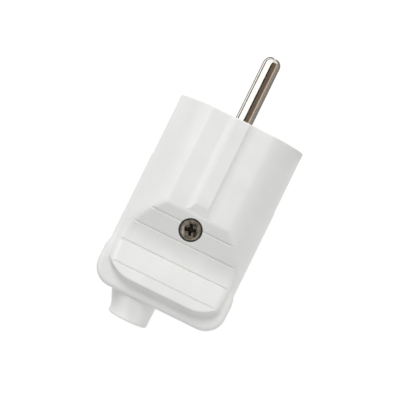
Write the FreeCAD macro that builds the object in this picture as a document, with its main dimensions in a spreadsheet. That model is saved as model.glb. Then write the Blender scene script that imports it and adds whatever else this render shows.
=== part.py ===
import FreeCAD, Part
import math
import os
import re

import Sketcher

# Type F plug with side earthing contacts, lying on its side. The engagement face is at y = 0, the pins point
# to -Y, the body runs to +Y, and the housing parts on the plane z = 0. Millimetres and degrees.
SIZES = {
    # housing, outside
    "barrel_diameter": 37.0,
    "flat_height": 16.2,
    "crease_radius": 2.0,
    "barrel_length": 27.4,
    "brow_radius": 1.8,
    "ramp_run": 11.23,
    "rise_run": 11.77,
    "valley_height": 8.62,
    "valley_radius": 8.0,
    "ridge_height": 11.34,
    "grip_corner_radius": 10.0,
    "ledge_depth": 4.1,
    "ledge_height": 8.0,
    "ledge_overhang": 0.25,
    "ledge_corner_radius": 5.7,
    "ledge_edge_radius": 1.5,
    "ledge_flare": 6.0,
    "cove_radius": 1.6,
    "ridge_radius": 0.5,
    "rim_radius": 0.4,
    "lip_radius": 0.5,
    "seam_radius": 0.15,
    # guide rib on each flat
    "rib_base_width": 5.6,
    "rib_top_width": 3.5,
    "rib_height": 1.1,
    "rib_run_out": 2.4,
    "rib_setback": 0.5,
    "rib_edge_radius": 0.2,
    "rib_end_radius": 1.5,
    "rib_skirt": 1.1,
    "rib_skirt_rise": 0.15,
    "rib_foot_radius": 2.4,
    "rest_rib_height": 0.5,
    # grooves across the finger hollow
    "groove_setback": 3.62,
    "groove_pitch": 6.2,
    "groove_depth": 0.42,
    # collar for the cord
    "collar_inset": 13.65,
    "collar_diameter": 11.5,
    "collar_root_diameter": 13.3,
    "collar_length": 6.5,
    "cord_bore": 8.6,
    # housing, inside
    "shell_wall": 2.0,
    "fit_gap": 0.1,
    "boss_diameter": 9.5,
    "stop_rib_thickness": 1.5,
    "stop_rib_width": 13.0,
    # side earthing recess
    "recess_width": 7.0,
    "recess_length": 17.5,
    # assembly screw and nut
    "screw_setback": 4.0,
    "screw_diameter": 3.5,
    "screw_length": 18.0,
    "screw_head_diameter": 5.9,
    "screw_head_height": 2.3,
    "screw_seat_height": 8.5,
    "screw_hole_gap": 0.25,
    "nut_across_flats": 6.0,
    "nut_height": 2.8,
    "nut_seat_height": 6.9,
    # contact pins
    "pin_diameter": 4.8,
    "pin_length": 19.0,
    "pin_spacing": 19.0,
    "pin_tip_radius": 2.1,
    "shank_diameter": 5.6,
    "pillar_diameter": 7.5,
    "pillar_length": 11.0,
    "pillar_flat": 3.3,
    "wire_hole": 3.2,
    "wire_hole_depth": 8.0,
    "clamp_setback": 3.5,
    # insulating carrier
    "face_thickness": 2.0,
    "flange_thickness": 2.0,
    "flange_reach": 0.8,
    "sleeve_diameter": 9.0,
    "sleeve_length": 3.9,
    "arm_thickness": 2.1,
    # earth strap
    "strap_thickness": 0.8,
    "strap_width": 6.0,
    "strap_inset": 1.95,
    "strap_setback": 1.0,
    "strap_depth": 16.0,
    "strap_bend": 1.6,
    "strap_hook": 0.9,
    "earth_screw_inset": 7.55,
    "earth_screw_diameter": 3.5,
    "earth_screw_length": 7.5,
    "clamp_plate_width": 7.2,
    "clamp_plate_thickness": 0.8,
    # terminal screws
    "terminal_screw_diameter": 3.0,
    "terminal_screw_length": 3.9,
    "terminal_head_diameter": 5.0,
    "terminal_head_height": 1.8,
    # cord grip
    "grip_setback": 10.0,
    "grip_width": 6.0,
    "grip_foot_height": 3.0,
    "grip_wall": 1.6,
    "grip_screw_diameter": 2.9,
    "grip_screw_length": 8.5,
    "grip_head_diameter": 4.6,
    "grip_head_height": 1.8,
    "grip_boss_diameter": 4.8,
}
GROOVES = 4

X_AXIS = FreeCAD.Vector(1, 0, 0)
ALONG_Y = FreeCAD.Rotation(X_AXIS, -90)
PLAN = FreeCAD.Rotation()
SECTION = FreeCAD.Rotation(X_AXIS, 90)
SIDE = FreeCAD.Rotation(FreeCAD.Vector(1, 1, 1), 120)

doc = FreeCAD.newDocument("plug")
sheet = doc.addObject("Spreadsheet::Sheet", "Sizes")
for row, (alias, value) in enumerate(SIZES.items(), 1):
    sheet.set(f"A{row}", alias)
    sheet.set(f"B{row}", str(value))
    sheet.setAlias(f"B{row}", alias)
doc.recompute()


def bound(expression):
    """The expression with every size name pointed at its cell."""
    return re.sub(r"[a-z_]+", lambda word: f"Sizes.{word[0]}" if word[0] in SIZES else word[0], expression)


def size(expression):
    """The number an expression of sizes gives."""
    return float(sheet.evalExpression(bound(expression)))


def bind(thing, **expressions):
    """Tie properties to expressions of sizes; at_x, at_y and at_z stand for the place."""
    for name, expression in expressions.items():
        path = f"Placement.Base.{name[3]}" if name.startswith("at_") else name
        thing.setExpression(path, bound(expression))
    return thing


def primitive(kind, name, rotation=PLAN, **expressions):
    """A Part primitive with its sizes and place tied to the sheet."""
    thing = doc.addObject(f"Part::{kind}", name)
    thing.Placement = FreeCAD.Placement(FreeCAD.Vector(), rotation)
    return bind(thing, **expressions)


def tie_point(sketch, geometry, position, x, y):
    """Hold a sketch point at the place that two expressions give."""
    for direction, expression in (("DistanceX", x), ("DistanceY", y)):
        rule = Sketcher.Constraint(direction, -1, 1, geometry, position, size(expression))
        sketch.setExpression(f"Constraints[{sketch.addConstraint(rule)}]", bound(expression))


def tie_radius(sketch, geometry, expression):
    """Hold the radius of an arc or circle."""
    rule = Sketcher.Constraint("Radius", geometry, size(expression))
    sketch.setExpression(f"Constraints[{sketch.addConstraint(rule)}]", bound(expression))


def outline(sketch, corners):
    """Draw a closed outline of straight sides; a corner (x, y, radius) is rounded with a tangent arc."""
    places = [FreeCAD.Vector(size(corner[0]), size(corner[1]), 0) for corner in corners]
    count = len(corners)
    starts, ends, arcs = [], [], {}
    for i, corner in enumerate(corners):
        place = places[i]
        back = (places[i - 1] - place).normalize()
        ahead = (places[(i + 1) % count] - place).normalize()
        radius = size(corner[2]) if len(corner) > 2 else 0
        half_angle = back.getAngle(ahead) / 2
        reach = radius / math.tan(half_angle)
        ends.append(place + back * reach)
        starts.append(place + ahead * reach)
        if radius:
            centre = place + (back + ahead).normalize() * (radius / math.sin(half_angle))
            arcs[i] = (centre, radius, (-back).cross(ahead).z > 0)
    sides = [sketch.addGeometry(Part.LineSegment(starts[i], ends[(i + 1) % count])) for i in range(count)]
    for i, corner in enumerate(corners):
        before, after = sides[i - 1], sides[i]
        if i not in arcs:
            sketch.addConstraint(Sketcher.Constraint("Coincident", before, 2, after, 1))
            tie_point(sketch, after, 1, corner[0], corner[1])
            continue
        mark = sketch.addGeometry(Part.Point(places[i]), True)
        tie_point(sketch, mark, 1, corner[0], corner[1])
        centre, radius, left_turn = arcs[i]
        first, last = (ends[i], starts[i]) if left_turn else (starts[i], ends[i])
        ring = Part.Circle(centre, FreeCAD.Vector(0, 0, 1), radius)
        arc = Part.ArcOfCircle(ring, ring.parameter(first), ring.parameter(last))
        bend = sketch.addGeometry(arc)
        enter, leave = (1, 2) if left_turn else (2, 1)
        sketch.addConstraint(Sketcher.Constraint("PointOnObject", mark, 1, before))
        sketch.addConstraint(Sketcher.Constraint("PointOnObject", mark, 1, after))
        sketch.addConstraint(Sketcher.Constraint("Tangent", before, 2, bend, enter))
        sketch.addConstraint(Sketcher.Constraint("Tangent", bend, leave, after, 1))
        tie_radius(sketch, bend, corner[2])
    return sketch


def circle(sketch, x, y, radius):
    """Draw a circle."""
    centre = FreeCAD.Vector(size(x), size(y), 0)
    geometry = sketch.addGeometry(Part.Circle(centre, FreeCAD.Vector(0, 0, 1), size(radius)))
    tie_point(sketch, geometry, 3, x, y)
    tie_radius(sketch, geometry, radius)
    return sketch


def prism(name, rotation, corners, length, symmetric=False):
    """An outline carried straight along its normal."""
    sketch = doc.addObject("Sketcher::SketchObject", f"{name}_outline")
    sketch.Placement = FreeCAD.Placement(FreeCAD.Vector(), rotation)
    outline(sketch, corners)
    solid = doc.addObject("Part::Extrusion", name)
    solid.Base = sketch
    solid.DirMode = "Normal"
    solid.Solid = True
    solid.Symmetric = symmetric
    return bind(solid, LengthFwd=length)


def common(name, *solids):
    """What all the solids share."""
    thing = doc.addObject("Part::MultiCommon", name)
    thing.Shapes = solids
    return thing


def fuse(name, *solids):
    """The solids as one."""
    thing = doc.addObject("Part::MultiFuse", name)
    thing.Shapes = solids
    thing.Refine = True
    return thing


def cut(name, base, tool):
    """The base without the tool."""
    thing = doc.addObject("Part::Cut", name)
    thing.Base = base
    thing.Tool = tool
    thing.Refine = True
    return thing


def mirrored(name, source):
    """The source turned over the parting plane."""
    thing = doc.addObject("Part::Mirroring", name)
    thing.Source = source
    thing.Normal = FreeCAD.Vector(0, 0, 1)
    return thing


def rounded(name, base, radius, chosen):
    """The base with the edges that the test picks rounded."""
    doc.recompute()
    numbers = [number for number, edge in enumerate(base.Shape.Edges, 1) if chosen(edge)]
    thing = doc.addObject("Part::Fillet", name)
    thing.Base = base
    thing.Edges = [(number, size(radius), size(radius)) for number in numbers]
    return thing


def middle(edge):
    """The point half way along an edge."""
    return edge.valueAt((edge.FirstParameter + edge.LastParameter) / 2)


# Stations along the axis, each built on the one before.
VALLEY = "(barrel_length + ramp_run)"
RIDGE = "(barrel_length + ramp_run + rise_run)"
REAR = "(barrel_length + ramp_run + rise_run + ledge_depth)"
TIP = "(barrel_length + ramp_run + rise_run + ledge_depth + collar_length)"
FLANGE = "(face_thickness + fit_gap)"
FLANGE_END = "(face_thickness + fit_gap + flange_thickness)"
PILLAR = "(face_thickness + fit_gap + flange_thickness + sleeve_length)"
PILLAR_END = "(face_thickness + fit_gap + flange_thickness + sleeve_length + pillar_length)"
SCREW = "(barrel_length + screw_setback)"
GRIP = "(barrel_length + ramp_run + rise_run + ledge_depth - grip_setback)"
COLLAR = "(barrel_diameter / 2 - collar_inset)"
GRIP_REACH = "(cord_bore / 2 + grip_wall + fit_gap + grip_head_diameter / 2)"

# Half housing, outside: the barrel is where the round, the side view and the plan all have material.
# The side view carries the flat, the ramp down into the finger hollow and the rise to the rear ridge.
barrel_round = primitive("Cylinder", "barrel_round", ALONG_Y, Radius="barrel_diameter / 2", Height=RIDGE)
barrel_side = prism(
    "barrel_side",
    SIDE,
    [
        ("0", "0"),
        (RIDGE, "0"),
        (RIDGE, "ridge_height"),
        (VALLEY, "valley_height", "valley_radius"),
        ("barrel_length", "flat_height", "brow_radius"),
        ("0", "flat_height"),
    ],
    "2 * barrel_diameter",
    symmetric=True,
)
barrel_plan = prism(
    "barrel_plan",
    PLAN,
    [
        ("-barrel_diameter / 2", "0"),
        ("barrel_diameter / 2", "0"),
        ("barrel_diameter / 2", RIDGE, "grip_corner_radius"),
        ("-barrel_diameter / 2", RIDGE, "grip_corner_radius"),
    ],
    "flat_height",
)
barrel = common("barrel", barrel_round, barrel_side, barrel_plan)

# Below the ledge's top the barrel keeps its full round, so the ledge grows out of its sides.
barrel_foot = primitive(
    "Box",
    "barrel_foot",
    Length="barrel_diameter",
    Width=RIDGE,
    Height="ledge_height",
    at_x="-barrel_diameter / 2",
)
barrel_low = common("barrel_low", barrel_round, barrel_foot)

# Ledge round the rear, flaring out of the barrel's sides.
LEDGE = "(barrel_diameter / 2 + ledge_overhang)"
FLARE = f"({RIDGE} - ledge_flare)"
ledge_block = prism(
    "ledge_block",
    PLAN,
    [
        ("-barrel_diameter / 2 + ledge_edge_radius", f"{FLARE} - ledge_flare"),
        ("barrel_diameter / 2 - ledge_edge_radius", f"{FLARE} - ledge_flare"),
        (LEDGE, FLARE, "ledge_flare"),
        (LEDGE, REAR, "ledge_corner_radius"),
        (f"-{LEDGE}", REAR, "ledge_corner_radius"),
        (f"-{LEDGE}", FLARE, "ledge_flare"),
    ],
    "ledge_height",
)
ledge = rounded(
    "ledge",
    ledge_block,
    "ledge_edge_radius",
    lambda edge: abs(middle(edge).z - size("ledge_height")) < 1e-6
    and middle(edge).y > size(FLARE) - size("ledge_flare") + 1e-6,
)

# Guide rib along each flat: its sides sweep out into low skirts, and it runs out before the finger hollow.
RIB_TOP = "(flat_height + rib_height)"
SKIRT = "(rib_base_width / 2 + 2 * rib_skirt)"
rib_section = prism(
    "rib_section",
    SECTION,
    [
        (f"-{SKIRT}", "flat_height - rib_skirt_rise"),
        (SKIRT, "flat_height - rib_skirt_rise"),
        ("rib_base_width / 2", "flat_height + rib_skirt_rise", "rib_foot_radius"),
        ("rib_top_width / 2", RIB_TOP, "rib_edge_radius"),
        ("-rib_top_width / 2", RIB_TOP, "rib_edge_radius"),
        ("-rib_base_width / 2", "flat_height + rib_skirt_rise", "rib_foot_radius"),
    ],
    "barrel_length",
)
rib_section.Reversed = True
RIB_END = "(barrel_length - rib_setback)"
rib_side = prism(
    "rib_side",
    SIDE,
    [
        ("0", "flat_height - rib_height"),
        (f"{RIB_END} + rib_run_out", "flat_height - rib_height"),
        (f"{RIB_END} - rib_run_out", RIB_TOP, "rib_end_radius"),
        ("0", RIB_TOP),
    ],
    f"4 * {SKIRT}",
    symmetric=True,
)
guide_rib = common("guide_rib", rib_section, rib_side)

# Collar for the cord: it tapers from a wide root and stays straight on one side.
SPREAD = "(collar_root_diameter - collar_diameter)"
collar_rings = []
for name, station, share in (
    ("collar_root", f"{REAR} - shell_wall", 1),
    ("collar_foot", REAR, 1),
    ("collar_neck", f"{REAR} + 0.6 * collar_length", 0.1),
    ("collar_lip", TIP, 0),
):
    ring = primitive("Circle", name, ALONG_Y, at_x=f"{COLLAR} + {share} * {SPREAD} / 2", at_y=station)
    collar_rings.append(bind(ring, Radius=f"(collar_diameter + {share} * {SPREAD}) / 2"))
collar_whole = doc.addObject("Part::Loft", "collar_whole")
collar_whole.Sections = collar_rings
collar_whole.Solid = True
collar_space = primitive(
    "Box",
    "collar_space",
    Length="2 * collar_root_diameter",
    Width=TIP,
    Height="collar_root_diameter",
    at_x=f"{COLLAR} - collar_root_diameter",
)
collar = common("collar", collar_whole, collar_space)
shell_block = fuse("shell_block", barrel, barrel_low, ledge, guide_rib, collar)


def near(value, expression):
    """Whether a coordinate is at the place an expression gives."""
    return abs(value - size(expression)) < 1e-4


# The moulded edges are soft: the crease beside the flat, the ridge and the cove under it, the front rim,
# the collar's lip and the seam between the shells.
creased = rounded(
    "creased",
    shell_block,
    "crease_radius",
    lambda edge: near(middle(edge).z, "flat_height")
    and abs(middle(edge).x) > size(SKIRT)
    and abs(edge.tangentAt(edge.FirstParameter).y) > 0.999,
)
ridged = rounded(
    "ridged",
    creased,
    "ridge_radius",
    lambda edge: near(middle(edge).y, RIDGE) and near(middle(edge).z, "ridge_height"),
)
coved = rounded(
    "coved",
    ridged,
    "cove_radius",
    lambda edge: near(middle(edge).y, RIDGE) and near(middle(edge).z, "ledge_height"),
)
lipped = rounded(
    "lipped",
    coved,
    "lip_radius",
    lambda edge: near(middle(edge).y, TIP) and middle(edge).z > 1e-4,
)
rimmed = rounded(
    "rimmed",
    lipped,
    "rim_radius",
    lambda edge: near(middle(edge).y, "0") and middle(edge).z > 1e-4,
)
shell_body = rounded(
    "shell_body",
    rimmed,
    "seam_radius",
    lambda edge: near(middle(edge).z, "0") and middle(edge).y > 1e-4,
)


def hollow_point(run):
    """Place and slope on the finger hollow at a run from its brow, down the ramp and up the rise."""
    ramp = math.atan2(size("flat_height - valley_height"), size("ramp_run"))
    rise = math.atan2(size("ridge_height - valley_height"), size("rise_run"))
    radius = size("valley_radius")
    reach = radius * math.tan((ramp + rise) / 2)
    ramp_end = math.hypot(size("flat_height - valley_height"), size("ramp_run")) - reach
    valley_end = ramp_end + radius * (ramp + rise)
    along = min(run, ramp_end)
    turned = min(max(run - ramp_end, 0), valley_end - ramp_end) / radius
    slope = turned - ramp
    beyond = max(run - valley_end, 0)
    y = size("barrel_length") + along * math.cos(ramp) + beyond * math.cos(slope)
    z = size("flat_height") - along * math.sin(ramp) + beyond * math.sin(slope)
    y += radius * (math.sin(ramp) + math.sin(slope))
    z += radius * (math.cos(ramp) - math.cos(slope))
    return FreeCAD.Vector(-size("barrel_diameter / 2"), y, z), slope


# Grip grooves across the finger hollow, evenly spaced along its surface.
grooves = []
for number in range(GROOVES):
    place, slope = hollow_point(size("groove_setback") + number * size("groove_pitch"))
    groove = primitive("Prism", f"groove_{number + 1}", Circumradius="groove_depth")
    bind(groove, Height="barrel_diameter")
    groove.Polygon = 4
    turn = FreeCAD.Rotation(X_AXIS, math.degrees(slope)) * FreeCAD.Rotation(FreeCAD.Vector(0, 1, 0), 90)
    groove.Placement = FreeCAD.Placement(place, turn)
    grooves.append(groove)

# Half housing, inside: the same three views drawn in by the wall, less the screw boss and the rib that stops
# the pin, which are left standing.
INNER = "(barrel_diameter / 2 - shell_wall)"
cavity_round = primitive("Cylinder", "cavity_round", ALONG_Y, Radius=INNER, Height=f"{REAR} - shell_wall")
cavity_side = prism(
    "cavity_side",
    SIDE,
    [
        ("0", "0"),
        (f"{REAR} - shell_wall", "0"),
        (f"{REAR} - shell_wall", "ledge_height - shell_wall"),
        (f"{RIDGE} - shell_wall", "ledge_height - shell_wall"),
        (f"{RIDGE} - shell_wall", "ridge_height - shell_wall"),
        (VALLEY, "valley_height - shell_wall", "valley_radius"),
        ("barrel_length", "flat_height - shell_wall"),
        ("0", "flat_height - shell_wall"),
    ],
    "barrel_diameter",
    symmetric=True,
)
cavity_plan = prism(
    "cavity_plan",
    PLAN,
    [
        (f"-{INNER}", "0"),
        (INNER, "0"),
        (INNER, f"{REAR} - shell_wall", "ledge_corner_radius - shell_wall"),
        (f"-{INNER}", f"{REAR} - shell_wall", "ledge_corner_radius - shell_wall"),
    ],
    "flat_height",
)
cavity = common("cavity", cavity_round, cavity_side, cavity_plan)
screw_boss = primitive("Cylinder", "screw_boss", Radius="boss_diameter / 2", Height="flat_height", at_y=SCREW)
stop_rib = primitive(
    "Box",
    "stop_rib",
    Length="stop_rib_width",
    Width="stop_rib_thickness",
    Height="flat_height",
    at_x="-stop_rib_width / 2",
    at_y=f"{PILLAR_END} + fit_gap",
    at_z="pin_spacing / 2 + wire_hole / 2 + fit_gap",
)
core = cut("core", cavity, fuse("standing", screw_boss, stop_rib))


def trimmed_disc(name, reach, start, thickness):
    """A disc of the barrel's inside shape, flats and all, grown by a reach."""
    disc = primitive("Cylinder", f"{name}_round", ALONG_Y, Radius=f"{INNER} + ({reach})", at_y=start)
    bind(disc, Height=thickness)
    bar = primitive(
        "Box",
        f"{name}_bar",
        Length="2 * barrel_diameter",
        Width=thickness,
        Height=f"2 * (flat_height - shell_wall + ({reach}))",
        at_x="-barrel_diameter",
        at_y=start,
        at_z=f"-flat_height + shell_wall - ({reach})",
    )
    return common(name, disc, bar)


seat_groove = trimmed_disc("seat_groove", "flange_reach", "face_thickness", "flange_thickness + 2 * fit_gap")
cord_bore = primitive(
    "Cylinder",
    "cord_bore_tool",
    ALONG_Y,
    Radius="cord_bore / 2",
    Height="collar_length + 2 * shell_wall",
    at_x=COLLAR,
    at_y=f"{REAR} - 1.5 * shell_wall",
)
recesses = [
    primitive(
        "Box",
        f"recess_{side}",
        Length="2 * shell_wall",
        Width="recess_length",
        Height="recess_width",
        at_x=place,
        at_z="-recess_width / 2",
    )
    for side, place in (("left", f"{INNER} - shell_wall / 2"), ("right", f"-{INNER} - 1.5 * shell_wall"))
]
half_openings = fuse("half_openings", core, seat_groove, cord_bore, *recesses, *grooves)
half_shell = cut("half_shell", shell_body, half_openings)

# Upper shell: the screw drops into a round hole in the ramp and its head seats on the boss.
head_hole = primitive(
    "Cylinder",
    "head_hole",
    Radius="screw_head_diameter / 2 + screw_hole_gap",
    Height="flat_height",
    at_y=SCREW,
    at_z="screw_seat_height",
)
shank_hole = primitive(
    "Cylinder",
    "shank_hole",
    Radius="screw_diameter / 2 + fit_gap",
    Height="flat_height",
    at_y=SCREW,
)
upper_shell = cut("upper_shell", half_shell, fuse("upper_openings", head_hole, shank_hole))

# Lower shell: the mirrored half, with a hexagon pocket for the nut, a saddle under the cord and two bosses
# for the screws of the cord grip. Its rib is cut lower, to a broad flat that the plug lies on.
lower_half = mirrored("lower_half", half_shell)
saddle = primitive(
    "Box",
    "saddle",
    Length=f"2 * {GRIP_REACH}",
    Width="grip_width - 2 * fit_gap",
    Height="valley_height",
    at_x=f"{COLLAR} - {GRIP_REACH}",
    at_y=f"{GRIP} - grip_width / 2 + fit_gap",
    at_z="-valley_height",
)
GRIP_SIDES = (("left", f"{COLLAR} + {GRIP_REACH}"), ("right", f"{COLLAR} - {GRIP_REACH}"))
grip_bosses = [
    primitive(
        "Cylinder",
        f"grip_boss_{side}",
        Radius="grip_boss_diameter / 2",
        Height="valley_height",
        at_x=place,
        at_y=GRIP,
        at_z="-valley_height",
    )
    for side, place in GRIP_SIDES
]
lower_body = fuse("lower_body", lower_half, saddle, *grip_bosses)
cord_lane = primitive(
    "Cylinder",
    "cord_lane",
    ALONG_Y,
    Radius="cord_bore / 2",
    Height="2 * grip_width",
    at_x=COLLAR,
    at_y=f"{GRIP} - grip_width",
)
grip_holes = [
    primitive(
        "Cylinder",
        f"grip_hole_{side}",
        Radius="grip_screw_diameter / 2 + fit_gap / 2",
        Height="grip_screw_length",
        at_x=place,
        at_y=GRIP,
        at_z="grip_foot_height - grip_screw_length - fit_gap",
    )
    for side, place in GRIP_SIDES
]
nut_pocket = primitive(
    "Prism",
    "nut_pocket",
    Circumradius="(nut_across_flats / 2 + fit_gap) / cos(30)",
    Height="flat_height",
    at_y=SCREW,
    at_z="-flat_height - nut_seat_height",
)
lower_shank_hole = primitive(
    "Cylinder",
    "lower_shank_hole",
    Radius="screw_diameter / 2 + fit_gap",
    Height="flat_height",
    at_y=SCREW,
    at_z="-flat_height",
)
below_rest = primitive(
    "Box",
    "below_rest",
    Length=f"2 * {SKIRT}",
    Width="barrel_length",
    Height="rib_height",
    at_x=f"-{SKIRT}",
    at_z="-flat_height - rest_rib_height - rib_height",
)
lower_shell = cut(
    "lower_shell",
    lower_body,
    fuse("lower_openings", cord_lane, nut_pocket, lower_shank_hole, below_rest, *grip_holes),
)

# Insulating carrier: the engagement face, a flange that the shells' groove holds, a sleeve behind each pin
# and an arm behind each earthing contact.
face = trimmed_disc("carrier_face", "-fit_gap", "0", FLANGE)
flange = trimmed_disc("carrier_flange", "flange_reach - fit_gap", FLANGE, "flange_thickness")
sleeves = [
    primitive(
        "Cylinder",
        f"sleeve_{side}",
        ALONG_Y,
        Radius="sleeve_diameter / 2",
        Height=PILLAR,
        at_z=place,
    )
    for side, place in (("upper", "pin_spacing / 2"), ("lower", "-pin_spacing / 2"))
]
STRAP = "(barrel_diameter / 2 - strap_inset)"
ARM = f"({STRAP} - strap_thickness - fit_gap / 2)"
arms = [
    primitive(
        "Box",
        f"arm_{side}",
        Length="arm_thickness",
        Width=f"strap_depth + strap_thickness - strap_bend - {FLANGE}",
        Height="strap_width + 4 * fit_gap",
        at_x=place,
        at_y=FLANGE,
        at_z="-strap_width / 2 - 2 * fit_gap",
    )
    for side, place in (("left", f"{ARM} - arm_thickness"), ("right", f"-{ARM}"))
]
notches = [
    primitive(
        "Box",
        f"notch_{side}",
        Length="barrel_diameter",
        Width=f"{FLANGE_END} + 2 * fit_gap",
        Height="strap_width + 4 * fit_gap",
        at_x=place,
        at_y="-fit_gap",
        at_z="-strap_width / 2 - 2 * fit_gap",
    )
    for side, place in (
        ("left", f"{ARM} - strap_hook"),
        ("right", f"-{ARM} + strap_hook - barrel_diameter"),
    )
]
pin_holes = [
    primitive(
        "Cylinder",
        f"pin_hole_{side}",
        ALONG_Y,
        Radius="shank_diameter / 2 + fit_gap / 2",
        Height=PILLAR,
        at_z=place,
    )
    for side, place in (("upper", "pin_spacing / 2"), ("lower", "-pin_spacing / 2"))
]
carrier_plate = cut("carrier_plate", fuse("carrier_blank", face, flange, *arms), fuse("notches", *notches))
carrier_body = fuse("carrier_body", carrier_plate, *sleeves)
pin_carrier = cut("pin_carrier", carrier_body, fuse("pin_holes", *pin_holes))


def body(name):
    """A new body of its own."""
    return doc.addObject("PartDesign::Body", name)


def plane_sketch(owner, name, role, offset="0"):
    """A sketch on one of the body's base planes, moved along its normal."""
    sketch = owner.newObject("Sketcher::SketchObject", name)
    plane = next(plane for plane in owner.Origin.OriginFeatures if plane.Role == role)
    sketch.AttachmentSupport = (plane, [""])
    sketch.MapMode = "FlatFace"
    sketch.setExpression("AttachmentOffset.Base.z", bound(offset))
    return sketch


def turned(owner, sketch, axis):
    """The sketched half section turned about one of its axes."""
    feature = owner.newObject("PartDesign::Revolution", f"{owner.Name}_turned")
    feature.Profile = sketch
    feature.ReferenceAxis = (sketch, [axis])
    feature.Angle = 360
    return feature


def padded(owner, sketch, length, midplane=False):
    """The sketch carried along its normal."""
    feature = owner.newObject("PartDesign::Pad", f"{sketch.Name}_pad")
    feature.Profile = sketch
    feature.Midplane = midplane
    return bind(feature, Length=length)


def pocketed(owner, sketch, length, reverse=False):
    """The sketch sunk into the body."""
    feature = owner.newObject("PartDesign::Pocket", f"{sketch.Name}_pocket")
    feature.Profile = sketch
    feature.Reversed = reverse
    return bind(feature, Length=length)


def contact_pin(name):
    """A turned pin with a rounded tip, and a pillar with a wire hole behind and a clamp hole in its side."""
    pin = body(name)
    section = outline(
        plane_sketch(pin, f"{name}_section", "YZ_Plane"),
        [
            ("-pin_length", "0"),
            (PILLAR_END, "0"),
            (PILLAR_END, "pillar_diameter / 2"),
            (PILLAR, "pillar_diameter / 2"),
            (PILLAR, "shank_diameter / 2"),
            ("0", "shank_diameter / 2"),
            ("0", "pin_diameter / 2"),
            ("-pin_length", "pin_diameter / 2", "pin_tip_radius"),
        ],
    )
    turned(pin, section, "H_Axis")
    flat = outline(
        plane_sketch(pin, f"{name}_flat", "YZ_Plane", "pillar_flat"),
        [
            (PILLAR, "-pillar_diameter"),
            (f"{PILLAR_END} + fit_gap", "-pillar_diameter"),
            (f"{PILLAR_END} + fit_gap", "pillar_diameter"),
            (PILLAR, "pillar_diameter"),
        ],
    )
    pocketed(pin, flat, "pillar_diameter", reverse=True)
    wire_hole = circle(
        plane_sketch(pin, f"{name}_wire_hole", "XZ_Plane", f"-{PILLAR_END}"), "0", "0", "wire_hole / 2"
    )
    pocketed(pin, wire_hole, "wire_hole_depth", reverse=True)
    clamp_hole = circle(
        plane_sketch(pin, f"{name}_clamp_hole", "YZ_Plane", "pillar_flat"),
        f"{PILLAR_END} - clamp_setback",
        "0",
        "terminal_screw_diameter / 2 + fit_gap / 2",
    )
    pocketed(pin, clamp_hole, "pillar_flat")
    return pin


upper_pin = bind(contact_pin("upper_pin"), at_z="pin_spacing / 2")
lower_pin = bind(contact_pin("lower_pin"), at_z="-pin_spacing / 2")


def head_screw(name, diameter, length, head_diameter, head_height, crown):
    """A turned screw standing on its tip side: the seat of its head is at z = 0 and its shank points down."""
    screw = body(name)
    section = outline(
        plane_sketch(screw, f"{name}_section", "XZ_Plane"),
        [
            ("0", f"-{length}"),
            (f"{diameter} * 0.38", f"-{length}"),
            (f"{diameter} / 2", f"-{length} + {diameter} * 0.12"),
            (f"{diameter} / 2", "0"),
            (f"{head_diameter} / 2", "0"),
            (f"{head_diameter} / 2", head_height, crown),
            ("0", head_height),
        ],
    )
    turned(screw, section, "V_Axis")
    return screw


def cross_recess(screw, head_height, span, width, depth):
    """A cross-shaped driving recess in the head."""
    arm = f"{span} / 2"
    half = f"{width} / 2"
    corners = [
        (half, half),
        (half, arm),
        (f"-{half}", arm),
        (f"-{half}", half),
        (f"-{arm}", half),
        (f"-{arm}", f"-{half}"),
        (f"-{half}", f"-{half}"),
        (f"-{half}", f"-{arm}"),
        (half, f"-{arm}"),
        (half, f"-{half}"),
        (arm, f"-{half}"),
        (arm, half),
    ]
    sketch = outline(plane_sketch(screw, f"{screw.Name}_cross", "XY_Plane", head_height), corners)
    pocketed(screw, sketch, depth)
    return screw


def slot(screw, head_diameter, head_height):
    """A straight driving slot across the head."""
    corners = [
        (f"-{head_diameter}", f"-{head_diameter} * 0.08"),
        (head_diameter, f"-{head_diameter} * 0.08"),
        (head_diameter, f"{head_diameter} * 0.08"),
        (f"-{head_diameter}", f"{head_diameter} * 0.08"),
    ]
    sketch = outline(plane_sketch(screw, f"{screw.Name}_slot", "XY_Plane", head_height), corners)
    pocketed(screw, sketch, f"{head_height} / 2")
    return screw


# Assembly screw and its nut, which pull the two shells together.
assembly_screw = head_screw(
    "assembly_screw",
    "screw_diameter",
    "screw_length",
    "screw_head_diameter",
    "screw_head_height",
    "screw_head_height * 0.7",
)
cross_recess(
    assembly_screw,
    "screw_head_height",
    "screw_diameter * 0.8",
    "screw_diameter / 4",
    "screw_head_height * 0.6",
)
bind(assembly_screw, at_y=SCREW, at_z="screw_seat_height")

nut_block = primitive(
    "Prism",
    "nut_block",
    Circumradius="nut_across_flats / 2 / cos(30)",
    Height="nut_height",
    at_y=SCREW,
    at_z="-nut_seat_height - nut_height",
)
nut_thread = primitive(
    "Cylinder",
    "nut_thread",
    Radius="screw_diameter / 2 + fit_gap / 2",
    Height="nut_height",
    at_y=SCREW,
    at_z="-nut_seat_height - nut_height",
)
assembly_nut = cut("assembly_nut", nut_block, nut_thread)

# Terminal screws, driven into the pillars from the side.
SIDEWAYS = FreeCAD.Rotation(FreeCAD.Vector(0, 1, 0), 90)
terminal_screws = []
for side, place in (("upper", "pin_spacing / 2"), ("lower", "-pin_spacing / 2")):
    screw = head_screw(
        f"{side}_terminal_screw",
        "terminal_screw_diameter",
        "terminal_screw_length",
        "terminal_head_diameter",
        "terminal_head_height",
        "terminal_head_height * 0.2",
    )
    slot(screw, "terminal_head_diameter", "terminal_head_height")
    screw.Placement = FreeCAD.Placement(FreeCAD.Vector(), SIDEWAYS)
    bind(screw, at_x="pillar_flat", at_y=f"{PILLAR_END} - clamp_setback", at_z=place)
    terminal_screws.append(screw)

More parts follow.
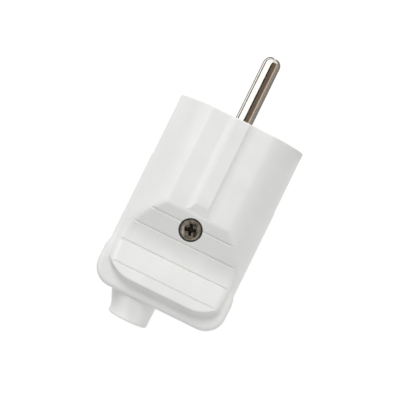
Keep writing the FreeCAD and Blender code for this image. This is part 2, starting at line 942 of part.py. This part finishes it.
# Earth strap: one strip bent into a U, its sides bare in the shells' recesses, its front ends turned in.
IN = f"({STRAP} - strap_thickness)"
HOOK = "(strap_setback + 3 * strap_thickness)"
earth_strap = body("earth_strap")
strap_plan = outline(
    plane_sketch(earth_strap, "strap_plan", "XY_Plane"),
    [
        (f"{STRAP} - strap_hook", "strap_setback"),
        (STRAP, HOOK),
        (STRAP, "strap_depth + strap_thickness", "strap_bend"),
        (f"-{STRAP}", "strap_depth + strap_thickness", "strap_bend"),
        (f"-{STRAP}", HOOK),
        (f"-{STRAP} + strap_hook", "strap_setback"),
        (f"-{IN} + strap_hook", "strap_setback"),
        (f"-{IN}", HOOK),
        (f"-{IN}", "strap_depth", "strap_bend - strap_thickness"),
        (IN, "strap_depth", "strap_bend - strap_thickness"),
        (IN, HOOK),
        (f"{IN} - strap_hook", "strap_setback"),
    ],
)
padded(earth_strap, strap_plan, "strap_width", midplane=True)
EARTH = f"(earth_screw_inset - {STRAP})"
strap_thread = circle(
    plane_sketch(earth_strap, "strap_thread", "XZ_Plane", "-strap_depth - strap_thickness"),
    EARTH,
    "0",
    "earth_screw_diameter / 2 + fit_gap / 2",
)
pocketed(earth_strap, strap_thread, "2 * strap_thickness", reverse=True)

# Earth terminal: a square plate under a screw that threads into the strap.
earth_clamp_plate = body("earth_clamp_plate")
PLATE = "(clamp_plate_width / 2)"
plate_outline = outline(
    plane_sketch(earth_clamp_plate, "plate_outline", "XZ_Plane", "-strap_depth - strap_thickness"),
    [
        (f"{EARTH} - {PLATE}", f"-{PLATE}", "clamp_plate_thickness"),
        (f"{EARTH} + {PLATE}", f"-{PLATE}", "clamp_plate_thickness"),
        (f"{EARTH} + {PLATE}", PLATE, "clamp_plate_thickness"),
        (f"{EARTH} - {PLATE}", PLATE, "clamp_plate_thickness"),
    ],
)
circle(plate_outline, EARTH, "0", "earth_screw_diameter / 2 + fit_gap")
padded(earth_clamp_plate, plate_outline, "clamp_plate_thickness").Reversed = True

earth_screw = head_screw(
    "earth_screw",
    "earth_screw_diameter",
    "earth_screw_length",
    "terminal_head_diameter * 1.2",
    "terminal_head_height",
    "terminal_head_height * 0.2",
)
slot(earth_screw, "terminal_head_diameter * 1.2", "terminal_head_height")
earth_screw.Placement = FreeCAD.Placement(FreeCAD.Vector(), ALONG_Y)
bind(earth_screw, at_x=EARTH, at_y="strap_depth + strap_thickness + clamp_plate_thickness")

# Cord grip: an arch over the cord with a foot on each boss of the lower shell.
cord_grip = body("cord_grip")
FOOT = f"({GRIP_REACH} + grip_boss_diameter / 2)"
LANE = "(cord_bore / 2)"
ARCH = "(cord_bore / 2 + grip_wall)"
grip_section = outline(
    plane_sketch(cord_grip, "grip_section", "XZ_Plane", f"-{GRIP}"),
    [
        (f"{COLLAR} - {FOOT}", "0"),
        (f"{COLLAR} - {LANE}", "0"),
        (f"{COLLAR} - {LANE}", LANE, "0.45 * cord_bore"),
        (f"{COLLAR} + {LANE}", LANE, "0.45 * cord_bore"),
        (f"{COLLAR} + {LANE}", "0"),
        (f"{COLLAR} + {FOOT}", "0"),
        (f"{COLLAR} + {FOOT}", "grip_foot_height", "0.6 * grip_foot_height"),
        (f"{COLLAR} + {ARCH}", "grip_foot_height"),
        (f"{COLLAR} + {ARCH}", ARCH, f"0.9 * ({ARCH} - grip_foot_height)"),
        (f"{COLLAR} - {ARCH}", ARCH, f"0.9 * ({ARCH} - grip_foot_height)"),
        (f"{COLLAR} - {ARCH}", "grip_foot_height"),
        (f"{COLLAR} - {FOOT}", "grip_foot_height", "0.6 * grip_foot_height"),
    ],
)
padded(cord_grip, grip_section, "grip_width", midplane=True)
for side, place in GRIP_SIDES:
    foot_hole = circle(
        plane_sketch(cord_grip, f"foot_hole_{side}", "XY_Plane", "grip_foot_height"),
        place,
        GRIP,
        "grip_screw_diameter / 2 + fit_gap",
    )
    pocketed(cord_grip, foot_hole, "2 * grip_foot_height")

grip_screws = []
for side, place in GRIP_SIDES:
    screw = head_screw(
        f"cord_grip_screw_{side}",
        "grip_screw_diameter",
        "grip_screw_length",
        "grip_head_diameter",
        "grip_head_height",
        "grip_head_height * 0.7",
    )
    cross_recess(
        screw,
        "grip_head_height",
        "grip_screw_diameter",
        "grip_screw_diameter / 4",
        "grip_head_height * 0.6",
    )
    grip_screws.append(bind(screw, at_x=place, at_y=GRIP, at_z="grip_foot_height"))

NODES = [
    upper_shell,
    lower_shell,
    pin_carrier,
    upper_pin,
    lower_pin,
    *terminal_screws,
    earth_strap,
    earth_clamp_plate,
    earth_screw,
    cord_grip,
    *grip_screws,
    assembly_screw,
    assembly_nut,
]
doc.recompute()
for thing in doc.Objects:
    if "Invalid" in thing.State or "Error" in thing.State:
        raise RuntimeError(f"{thing.Label} did not build")
os.makedirs("parts", exist_ok=True)
for node in NODES:
    if node.Shape.isNull() or not node.Shape.isValid() or len(node.Shape.Solids) != 1:
        raise RuntimeError(f"{node.Label} is not one valid solid")
    node.Shape.exportStep(f"parts/{node.Label}.step")
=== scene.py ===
import math

import bpy
import numpy as np
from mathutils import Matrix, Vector


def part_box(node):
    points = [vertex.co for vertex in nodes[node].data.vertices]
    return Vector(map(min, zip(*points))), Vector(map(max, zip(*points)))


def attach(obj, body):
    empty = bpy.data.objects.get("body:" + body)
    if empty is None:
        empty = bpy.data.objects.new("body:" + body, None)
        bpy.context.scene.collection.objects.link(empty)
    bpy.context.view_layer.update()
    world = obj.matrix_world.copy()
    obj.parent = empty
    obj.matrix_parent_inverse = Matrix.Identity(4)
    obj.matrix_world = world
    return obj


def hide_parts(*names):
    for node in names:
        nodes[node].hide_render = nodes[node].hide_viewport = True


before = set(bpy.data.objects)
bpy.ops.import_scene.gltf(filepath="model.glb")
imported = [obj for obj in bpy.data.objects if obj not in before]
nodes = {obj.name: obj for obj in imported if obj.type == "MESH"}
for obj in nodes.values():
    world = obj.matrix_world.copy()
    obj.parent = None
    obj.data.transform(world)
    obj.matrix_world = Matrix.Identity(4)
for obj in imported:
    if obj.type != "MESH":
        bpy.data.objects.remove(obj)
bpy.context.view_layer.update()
scene = bpy.context.scene
scene.view_settings.view_transform = "Standard"

# Lower shell: the half of the housing that takes the nut and the cord saddle, moulded in white ABS. The
# mould was polished and lightly spark eroded, so the skin is satin with a fine grain, and its white is a
# little uneven where the melt flowed together behind the openings.
MM = 0.001
FLOW_MARK = 9 * MM
GRAIN = 0.4 * MM
GRAIN_DEPTH = 0.012 * MM
GRAIN_STRENGTH = 0.5
FIELD_LOW = 0.3
FIELD_HIGH = 0.7
PLASTIC_IOR = 1.53


def linear(code):
    """Linear colour of an sRGB hex value: each channel's share of 255 through the sRGB curve."""
    share = np.array([int(code[i : i + 2], 16) for i in (0, 2, 4)]) / 255
    return (*np.where(share <= 0.04045, share / 12.92, ((share + 0.055) / 1.055) ** 2.4), 1.0)


def add_node(tree, kind, settings=(), inputs=(), links=()):
    """One shader node with its settings, its fixed inputs, and its links as (input name, source socket)."""
    node = tree.nodes.new(kind)
    for name, value in dict(settings).items():
        setattr(node, name, value)
    for name, value in dict(inputs).items():
        node.inputs[name].default_value = value
    for name, source in dict(links).items():
        tree.links.new(source, node.inputs[name])
    return node


def start_material(name):
    """A material, with its tree, its Principled shader and the Object coordinates of the piece."""
    material = bpy.data.materials.new(name)
    material.use_nodes = True
    tree = material.node_tree
    place = add_node(tree, "ShaderNodeTexCoord").outputs["Object"]
    return material, tree, tree.nodes["Principled BSDF"], place


def vary(tree, skin, field, deep, pale, smooth, dull):
    """Colour from deep to pale and roughness from smooth to dull, both led by the middle of a field."""
    tint = add_node(tree, "ShaderNodeValToRGB", links={"Fac": field})
    for stop, position, code in zip(tint.color_ramp.elements, (FIELD_LOW, FIELD_HIGH), (deep, pale)):
        stop.position = position
        stop.color = linear(code)
    sheen = add_node(
        tree,
        "ShaderNodeMapRange",
        inputs={"From Min": FIELD_LOW, "From Max": FIELD_HIGH, "To Min": smooth, "To Max": dull},
        links={"Value": field},
    )
    tree.links.new(tint.outputs["Color"], skin.inputs["Base Color"])
    tree.links.new(sheen.outputs["Result"], skin.inputs["Roughness"])


def roughen(tree, skin, field, depth, strength):
    """Relief of a depth from a field, at a share of its full strength."""
    bump = add_node(
        tree, "ShaderNodeBump", inputs={"Strength": strength, "Distance": depth}, links={"Height": field}
    )
    tree.links.new(bump.outputs["Normal"], skin.inputs["Normal"])


def moulded_plastic(name, deep, pale, smooth, dull):
    """Moulded plastic: slow flow marks lead tint and gloss, and a fine grain lies over all of it.
    The grain of the real mould is about 0.15 mm; it is drawn coarser to show."""
    material, tree, skin, place = start_material(name)
    flow = add_node(
        tree, "ShaderNodeTexNoise", inputs={"Scale": 1 / FLOW_MARK, "Detail": 3.0}, links={"Vector": place}
    )
    grain = add_node(
        tree, "ShaderNodeTexNoise", inputs={"Scale": 1 / GRAIN, "Detail": 2.0}, links={"Vector": place}
    )
    vary(tree, skin, flow.outputs[0], deep, pale, smooth, dull)
    roughen(tree, skin, grain.outputs[0], GRAIN_DEPTH, GRAIN_STRENGTH)
    skin.inputs["IOR"].default_value = PLASTIC_IOR
    return material


def dress(piece, material):
    """Give a piece one material all over."""
    piece.data.materials.clear()
    piece.data.materials.append(material)


white_abs = moulded_plastic("white_moulded_abs", "EAEAE8", "EFEFED", 0.36, 0.44)
dress(nodes["lower_shell"], white_abs)

# Assembly nut: a hexagon nut, cold formed in steel, tapped and zinc plated, with both faces chamfered.
# It drops into the hexagon pocket of the lower shell, so it can't turn when the screw is tightened.
COLUMNS = 96
THREAD_DEPTH = 0.55
THREAD_STEPS = 10
SCREW_SHANK = 1.75 * MM
SCREW_PITCH = 0.6 * MM
THREAD_PLAY = 0.05 * MM
NUT_FACE = 0.95
NUT_CHAMFER = math.radians(30)
NUT_CHAMFER_HEIGHT = 0.45 * MM
CHAMFER_ROWS = 8
SHARP_EDGE = math.radians(40)
PLATING_CLOUD = 1.2 * MM
PLATING_GRAIN = 0.12 * MM
PLATING_DEPTH = 0.004 * MM
PLATING_STRENGTH = 0.4


def plated_steel(name, deep, pale, smooth, dull):
    """Barrel-plated steel: small clouds in the coat lead its tint and gloss, over a fine tumbled grain."""
    material, tree, skin, place = start_material(name)
    cloud = add_node(
        tree,
        "ShaderNodeTexNoise",
        inputs={"Scale": 1 / PLATING_CLOUD, "Detail": 4.0},
        links={"Vector": place},
    )
    grain = add_node(
        tree,
        "ShaderNodeTexNoise",
        inputs={"Scale": 1 / PLATING_GRAIN, "Detail": 1.0},
        links={"Vector": place},
    )
    vary(tree, skin, cloud.outputs[0], deep, pale, smooth, dull)
    roughen(tree, skin, grain.outputs[0], PLATING_DEPTH, PLATING_STRENGTH)
    skin.inputs["Metallic"].default_value = 1.0
    return material


def grid_piece(name, points, poles=()):
    """A piece from a grid of points, rows by columns, whose columns run round an axis. With two poles the
    first and last rows close on them; without, the last row joins the first, as on a ring."""
    number = np.arange(points.shape[0] * points.shape[1]).reshape(points.shape[:2])
    near = number[:-1] if poles else number
    far = number[1:] if poles else np.roll(number, -1, axis=0)
    quads = np.stack([near, np.roll(near, -1, axis=1), np.roll(far, -1, axis=1), far], axis=-1)
    faces = quads.reshape(-1, 4).tolist()
    vertices = points.reshape(-1, 3)
    if poles:
        vertices = np.concatenate([vertices, poles])
        first, last = number[0], number[-1]
        foot = np.full_like(first, number.size)
        faces += np.stack([foot, np.roll(first, -1), first], axis=-1).tolist()
        faces += np.stack([foot + 1, last, np.roll(last, -1)], axis=-1).tolist()
    mesh = bpy.data.meshes.new(name)
    mesh.from_pydata(vertices.tolist(), [], faces)
    mesh.shade_smooth()
    mesh.set_sharp_from_angle(angle=SHARP_EDGE)
    piece = bpy.data.objects.new(name, mesh)
    scene.collection.objects.link(piece)
    return piece


def thread_radius(height, angle, crest, pitch):
    """Radius of a thread: the crest, less a triangle wave of the turns by which height leads the angle."""
    turns = height / pitch - angle / (2 * np.pi)
    return crest - THREAD_DEPTH * pitch * abs(2 * (turns % 1) - 1)


def turned_points(centre, along, radius, height, angle):
    """Grid points at a radius and angle about an axis through a centre, and at a height along that axis."""
    points = np.empty((*np.broadcast_shapes(radius.shape, angle.shape), 3))
    points[..., along] = height
    points[..., (along + 1) % 3] = centre[(along + 1) % 3] + radius * np.cos(angle)
    points[..., (along + 2) % 3] = centre[(along + 2) % 3] + radius * np.sin(angle)
    return points


def hexagon_nut(name, node, crest, pitch):
    """A nut in the box of its node: down the thread, out along the lower face, up the flats, in at the top.
    The flats lie at half the width over the cosine of the angle to their middle, within chamfer cones."""
    low, high = (np.array(corner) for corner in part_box(node))
    angle = np.linspace(0, 2 * np.pi, COLUMNS, endpoint=False)
    flats = (high - low)[1] / 2
    bore_height = np.arange(high[2], low[2], -pitch / THREAD_STEPS)[:, None]
    bore = thread_radius(bore_height, angle, crest, pitch)
    corner = np.linspace(0, NUT_CHAMFER_HEIGHT, CHAMFER_ROWS)
    side_height = np.concatenate([low[2] + corner, high[2] - corner[::-1]])[:, None]
    hexagon = flats / np.cos(angle % (np.pi / 3) - np.pi / 6)
    depth = np.minimum(side_height - low[2], high[2] - side_height)
    side = np.minimum(hexagon, NUT_FACE * flats + depth / math.tan(NUT_CHAMFER))
    height = np.concatenate([bore_height, side_height])
    radius = np.concatenate([bore, side])
    return grid_piece(name, turned_points((low + high) / 2, 2, radius, height, angle))


def fit(piece, node, material):
    """Let a piece stand for its CAD node, with the node's finish."""
    dress(piece, material)
    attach(piece, "root")
    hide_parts(node)


zinc_plate = plated_steel("zinc_plated_steel", "A9A9A6", "C2C1BC", 0.24, 0.4)
nut = hexagon_nut("hexagon_nut", "assembly_nut", SCREW_SHANK + THREAD_PLAY, SCREW_PITCH)
fit(nut, "assembly_nut", zinc_plate)

# Pin carrier: the insulating disc that carries both pins and the earth strap, moulded in an off-white,
# heat-resistant polyamide. Its flange sits in the groove of the shells, which clamp it.
carrier_polyamide = moulded_plastic("off_white_polyamide", "D9D8D2", "E6E5E0", 0.42, 0.55)
dress(nodes["pin_carrier"], carrier_polyamide)

# Contact pins: turned from brass bar, each with its terminal pillar behind, and nickel plated bright.
# The lathe leaves faint rings round the pin, about 0.1 mm apart and drawn wider to show, and the warm brass
# tints the plating.
TURNING_RING = 0.35 * MM
RING_DEPTH = 0.003 * MM
RING_STRENGTH = 0.15
WAVE_PERIOD = 0.314

bright_nickel, tree, skin, place = start_material("nickel_plated_brass")
rings = add_node(
    tree,
    "ShaderNodeTexWave",
    settings={"bands_direction": "Y"},
    inputs={"Scale": WAVE_PERIOD / TURNING_RING, "Distortion": 1.5, "Detail": 2.0},
    links={"Vector": place},
)
cloud = add_node(
    tree, "ShaderNodeTexNoise", inputs={"Scale": 1 / PLATING_CLOUD, "Detail": 3.0}, links={"Vector": place}
)
vary(tree, skin, cloud.outputs[0], "D8D4CC", "E4E1DB", 0.08, 0.14)
roughen(tree, skin, rings.outputs[0], RING_DEPTH, RING_STRENGTH)
skin.inputs["Metallic"].default_value = 1.0
for name in ("upper_pin", "lower_pin"):
    dress(nodes[name], bright_nickel)

# Terminal screws: slotted cheese-head screws with a rolled thread, zinc plated steel. Each is driven into
# the side of a pillar and clamps the core that lies in the pillar's wire hole.
HEAD_TURN = 1.2
HEAD_ROWS = 16
FACE_ROWS = 42
RECESS_WALL = 0.12 * MM
CHEESE_CROWN = 10
TIP_SHARE = 0.76


def ease(share):
    """Smooth step: 3 s² - 2 s³ of a share held between 0 and 1."""
    share = np.clip(share, 0, 1)
    return share * share * (3 - 2 * share)


def screw(name, node, along, shank, pitch, head_height, crown, recess):
    """A screw in the box of its node, on polar rows from the tip up the thread, under the head and over it.
    The head's side and top are one superellipse of height over radius, cut down to the recess's floor."""
    low, high = (np.array(corner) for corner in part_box(node))
    centre = (low + high) / 2
    seat = high[along] - head_height
    head = (high - low)[(along + 1) % 3] / 2
    angle = np.linspace(0, 2 * np.pi, COLUMNS, endpoint=False)
    shank_height = np.arange(low[along], seat, pitch / THREAD_STEPS)[:, None]
    tip_cone = TIP_SHARE * shank + shank_height - low[along]
    shank_radius = np.minimum(thread_radius(shank_height, angle, shank, pitch), tip_cone)
    rim = head * np.cos(np.linspace(0, HEAD_TURN, HEAD_ROWS)) ** (2 / crown)
    face = np.linspace(rim[-1], 0, FACE_ROWS)[1:-1]
    head_radius = np.concatenate([rim, face])[:, None] + 0 * angle
    dome = head_height * (1 - (head_radius / head) ** crown) ** (1 / crown)
    floor = head_height - recess(head_radius * np.cos(angle), head_radius * np.sin(angle))
    height = np.concatenate([shank_height + 0 * angle, seat + np.minimum(dome, floor)])
    radius = np.concatenate([shank_radius, head_radius])
    poles = np.array([centre, centre])
    poles[:, along] = low[along], high[along] - recess(0.0, 0.0)
    return grid_piece(name, turned_points(centre, along, radius, height, angle), tuple(poles))


def slot_recess(half_width, depth):
    """A straight slot: the full depth within its half width of the middle line, between steep walls."""
    return lambda u, v: depth * ease(1 + (half_width - abs(v)) / RECESS_WALL)


for side in ("upper", "lower"):
    terminal_screw = screw(
        f"{side}_clamping_screw",
        f"{side}_terminal_screw",
        along=0,
        shank=1.5 * MM,
        pitch=0.5 * MM,
        head_height=1.8 * MM,
        crown=CHEESE_CROWN,
        recess=slot_recess(0.4 * MM, 0.9 * MM),
    )
    fit(terminal_screw, f"{side}_terminal_screw", zinc_plate)

# Earth strap: one strip of brass, blanked and bent into a U, hooked over the arms of the carrier. Its two
# sides lie bare in the recesses of the shells. Rolling leaves fine streaks along the strip.
STREAK = 0.2 * MM
STREAK_STRETCH = 0.04
STREAK_DEPTH = 0.004 * MM
STREAK_STRENGTH = 0.3

rolled_brass, tree, skin, place = start_material("rolled_brass")
stretch = add_node(
    tree,
    "ShaderNodeMapping",
    inputs={"Scale": (STREAK_STRETCH, STREAK_STRETCH, 1.0)},
    links={"Vector": place},
)
streaks = add_node(
    tree,
    "ShaderNodeTexNoise",
    inputs={"Scale": 1 / STREAK, "Detail": 4.0},
    links={"Vector": stretch.outputs["Vector"]},
)
vary(tree, skin, streaks.outputs[0], "BFA45C", "D8C07E", 0.2, 0.34)
roughen(tree, skin, streaks.outputs[0], STREAK_DEPTH, STREAK_STRENGTH)
skin.inputs["Metallic"].default_value = 1.0
dress(nodes["earth_strap"], rolled_brass)

# Earth terminal: a square plate, blanked from zinc plated steel, under a slotted cheese-head screw that
# goes through it into the tapped strap and presses the earth core flat.
dress(nodes["earth_clamp_plate"], zinc_plate)
earth_terminal_screw = screw(
    "earth_terminal_screw",
    "earth_screw",
    along=1,
    shank=1.75 * MM,
    pitch=0.6 * MM,
    head_height=1.8 * MM,
    crown=CHEESE_CROWN,
    recess=slot_recess(0.48 * MM, 0.9 * MM),
)
fit(earth_terminal_screw, "earth_screw", zinc_plate)

# Cord grip: an arch moulded in grey polyamide that presses the sheathed cord into the saddle of the lower
# shell, held by a self-tapping pan-head screw in each foot.
PAN_CROWN = 3.5
ARM_FALL = 0.4
RECESS_MIDDLE = 1.9


def cross_recess(arm, half_width, depth, turn):
    """A turned cross with a round middle, whose radius is in half widths. Each arm is as deep as the
    middle, less a fall by the square of the way along. Steep walls bound both, and the deepest counts."""

    def sink(along, across):
        fall = 1 - ARM_FALL * (along / arm) ** 2
        inside = ease((half_width - abs(across)) / RECESS_WALL) * ease((arm - abs(along)) / RECESS_WALL)
        return depth * fall * inside

    def recess(u, v):
        along = u * math.cos(turn) + v * math.sin(turn)
        across = v * math.cos(turn) - u * math.sin(turn)
        middle = depth * ease((RECESS_MIDDLE * half_width - np.hypot(u, v)) / RECESS_WALL)
        return np.maximum(np.maximum(sink(along, across), sink(across, along)), middle)

    return recess


grip_polyamide = moulded_plastic("grey_polyamide", "86868A", "949497", 0.42, 0.56)
dress(nodes["cord_grip"], grip_polyamide)
for side, turn in (("left", 20), ("right", 65)):
    grip_screw = screw(
        f"grip_tapping_screw_{side}",
        f"cord_grip_screw_{side}",
        along=2,
        shank=1.45 * MM,
        pitch=1.06 * MM,
        head_height=1.8 * MM,
        crown=PAN_CROWN,
        recess=cross_recess(1.45 * MM, 0.4 * MM, 1.1 * MM, math.radians(turn)),
    )
    fit(grip_screw, f"cord_grip_screw_{side}", zinc_plate)

# Upper shell: the other half of the housing, moulded in the same white ABS. The screw's head lies deep in
# a round hole in its ramp.
dress(nodes["upper_shell"], white_abs)

# Assembly screw: a pan-head machine screw with a cross recess, steel with a dark nickel coat. It goes
# through both shells into the nut and holds the plug together. Handling has rubbed the coat pale in flecks
# on the head. Below the head's face the colour is darkened with depth, as painted shade in the recess,
# and the hidden shank is darkened the same way.
CLOSING_CROWN = 6
SHADE_START_DEPTH = 0.5 * MM
SHADE_FULL_DEPTH = 1.1 * MM
RECESS_SHADE = 0.22

dark_nickel = plated_steel("dark_nickel_plate", "7F776B", "D8CFC1", 0.24, 0.42)
tree = dark_nickel.node_tree
skin = tree.nodes["Principled BSDF"]
place = tree.nodes["Texture Coordinate"].outputs["Object"]
tint = skin.inputs["Base Color"].links[0].from_socket
# Painted shade: below the head's face the colour darkens with depth, down to RECESS_SHADE of itself in the
# recess.
level = add_node(tree, "ShaderNodeSeparateXYZ", links={"Vector": place}).outputs["Z"]
head_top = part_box("assembly_screw")[1].z
painted_shade_ramp = add_node(
    tree,
    "ShaderNodeMapRange",
    inputs={
        "From Min": head_top - SHADE_FULL_DEPTH,
        "From Max": head_top - SHADE_START_DEPTH,
        "To Min": RECESS_SHADE,
    },
    links={"Value": level},
)
coat = add_node(
    tree,
    "ShaderNodeVectorMath",
    settings={"operation": "SCALE"},
    links={"Vector": tint, "Scale": painted_shade_ramp.outputs["Result"]},
)
tree.links.new(coat.outputs["Vector"], skin.inputs["Base Color"])
closing_screw = screw(
    "closing_screw",
    "assembly_screw",
    along=2,
    shank=SCREW_SHANK,
    pitch=SCREW_PITCH,
    head_height=2.3 * MM,
    crown=CLOSING_CROWN,
    recess=cross_recess(1.6 * MM, 0.46 * MM, 2.0 * MM, math.radians(14)),
)
fit(closing_screw, "assembly_screw", dark_nickel)

# Table top: a sheet of white card that the plug lies on. To the camera and in reflections it is plain white
# with a faint shadow of the plug, and to the plug it is a pale surface that throws light back.
TABLE_REACH = 1.5
CARD_GLOW = 0.87
CARD_SHADE = 0.25


def stage_sheet(name, points, faces=((0, 1, 2, 3),)):
    """A sheet of the stage from its points, which are four corners unless its faces are given."""
    mesh = bpy.data.meshes.new(name)
    mesh.from_pydata(points, [], faces)
    sheet = bpy.data.objects.new(name, mesh)
    scene.collection.objects.link(sheet)
    return sheet


def seen_rays(tree):
    """1 for the rays that show a surface as such, from the camera, in gloss and through glass, else 0."""
    rays = add_node(tree, "ShaderNodeLightPath").outputs
    gloss = add_node(
        tree,
        "ShaderNodeMath",
        settings={"operation": "MAXIMUM"},
        links={0: rays["Is Camera Ray"], 1: rays["Is Glossy Ray"]},
    )
    both = add_node(
        tree,
        "ShaderNodeMath",
        settings={"operation": "MAXIMUM"},
        links={0: gloss.outputs["Value"], 1: rays["Is Transmission Ray"]},
    )
    return both.outputs["Value"]


floor_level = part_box("lower_shell")[0].z
table_top = stage_sheet(
    "table_top",
    [
        (-TABLE_REACH, -TABLE_REACH, floor_level),
        (TABLE_REACH, -TABLE_REACH, floor_level),
        (TABLE_REACH, TABLE_REACH, floor_level),
        (-TABLE_REACH, TABLE_REACH, floor_level),
    ],
)
white_card, tree = start_material("white_card")[:2]
seen = seen_rays(tree)
glow = add_node(tree, "ShaderNodeEmission", inputs={"Color": linear("FFFFFF"), "Strength": CARD_GLOW})
shaded = add_node(tree, "ShaderNodeBsdfDiffuse", inputs={"Color": (CARD_SHADE, CARD_SHADE, CARD_SHADE, 1)})
shown = add_node(tree, "ShaderNodeAddShader", links={0: glow.outputs[0], 1: shaded.outputs[0]})
bounce = add_node(tree, "ShaderNodeBsdfDiffuse", inputs={"Color": linear("F2F2F2")})
face = add_node(
    tree, "ShaderNodeMixShader", links={0: seen, 1: bounce.outputs[0], 2: shown.outputs[0]}
)
tree.links.new(face.outputs[0], tree.nodes["Material Output"].inputs["Surface"])
dress(table_top, white_card)

# Studio: a white room, with a soft box over the pins' end and a weaker one across the cord's end. Boards
# and cards that show only in gloss stand for a window, the dark round the lens, the walls and the table,
# and give the bright metal its bands.
BOARD_REACH = 0.6
BOARD_STEPS = 24
CARD_LENGTH = 0.3
ROOM_GLOW = 0.51
LAMP_DISTANCE = 0.75
LAMP_SIZE = 0.35


def show_in_gloss(board, code, strength=1.0):
    """Give a board a plain glow and let only glossy rays see it."""
    material, tree = start_material(f"{board.name}_board")[:2]
    glow = add_node(tree, "ShaderNodeEmission", inputs={"Color": linear(code), "Strength": strength})
    tree.links.new(glow.outputs[0], tree.nodes["Material Output"].inputs["Surface"])
    dress(board, material)
    board.visible_camera = False
    board.visible_diffuse = False
    board.visible_transmission = False
    board.visible_shadow = False


def reflected_board(name, start, end, code, strength=1.0):
    """A strip of a cylinder round the plug's axis, between two angles off the zenith, positive to -X."""
    angle = np.radians(np.linspace(start, end, BOARD_STEPS))
    arc = np.stack([-np.sin(angle), np.zeros_like(angle), np.cos(angle)], axis=-1) * BOARD_REACH
    ends = np.array([[0, -BOARD_REACH, 0], [0, BOARD_REACH, 0]])
    points = (arc[:, None] + ends).reshape(-1, 3)
    first = 2 * np.arange(BOARD_STEPS - 1)
    faces = np.stack([first, first + 1, first + 3, first + 2], axis=-1)
    show_in_gloss(stage_sheet(name, points.tolist(), faces.tolist()), code, strength)


reflected_board("window_bar", -97, -85, "4A4742")
reflected_board("window", -85, -14, "FFFFFF", 1.5)
reflected_board("lens_shade", -14, 9, "1E1813")
reflected_board("brown_wall", 9, 52, "75675A")
reflected_board("tan_edge", 52, 74, "D3C4B6")
# Painted shade: this grey board shows the table low on the -X side shaded, as the metal reflects it.
reflected_board("grey_shade", 74, 100, "8C8781")


def floor_card(name, inner, outer, code):
    """A card just over the table beside the pins, between two distances from their axis."""
    level = floor_level + MM
    front = -CARD_LENGTH
    corners = [(inner, front, level), (outer, front, level), (outer, 0, level), (inner, 0, level)]
    show_in_gloss(stage_sheet(name, corners), code)


floor_card("near_shade", 5 * MM, 27 * MM, "4A4742")
floor_card("far_shade", 117 * MM, 600 * MM, "4A4742")
# Painted shade: this grey card darkens the table on the -X side in the metal's reflections.
floor_card("grey_table_shade", -310 * MM, -10 * MM, "8C8781")

world = bpy.data.worlds.new("white_room")
scene.world = world
world.use_nodes = True
tree = world.node_tree
dim_room = tree.nodes["Background"]
dim_room.inputs["Color"].default_value = linear("FFFFFF")
dim_room.inputs["Strength"].default_value = ROOM_GLOW
seen_room = add_node(tree, "ShaderNodeBackground", inputs={"Color": linear("FFFFFF"), "Strength": 1.0})
room = add_node(
    tree, "ShaderNodeMixShader", links={0: seen_rays(tree), 1: dim_room.outputs[0], 2: seen_room.outputs[0]}
)
tree.links.new(room.outputs[0], tree.nodes["World Output"].inputs["Surface"])


def soft_box(name, towards, watts):
    """A square lamp that looks at the plug from a direction."""
    lamp = bpy.data.lights.new(name, "AREA")
    lamp.size = LAMP_SIZE
    lamp.energy = watts
    box = bpy.data.objects.new(name, lamp)
    scene.collection.objects.link(box)
    direction = Vector(towards).normalized()
    box.location = direction * LAMP_DISTANCE
    box.rotation_euler = direction.to_track_quat("Z", "Y").to_euler()


soft_box("key", (0.4, -0.58, 0.71), 2.84)
soft_box("fill", (-0.75, 0.25, 0.6), 0.77)

# Camera: straight above the plug, aimed near the middle of its length and turned so that the pins point
# to the upper right.
CAMERA_AIM = (1.26 * MM, 23.25 * MM)
CAMERA_HEIGHT = 340 * MM
CAMERA_TURN = math.radians(206.2)

lens = bpy.data.cameras.new("camera")
lens.lens = 112.8
lens.sensor_width = 36
lens.clip_start = 0.01
camera = bpy.data.objects.new("camera", lens)
scene.collection.objects.link(camera)
camera.location = (*CAMERA_AIM, CAMERA_HEIGHT)
camera.rotation_euler = (0, 0, CAMERA_TURN)
scene.camera = camera
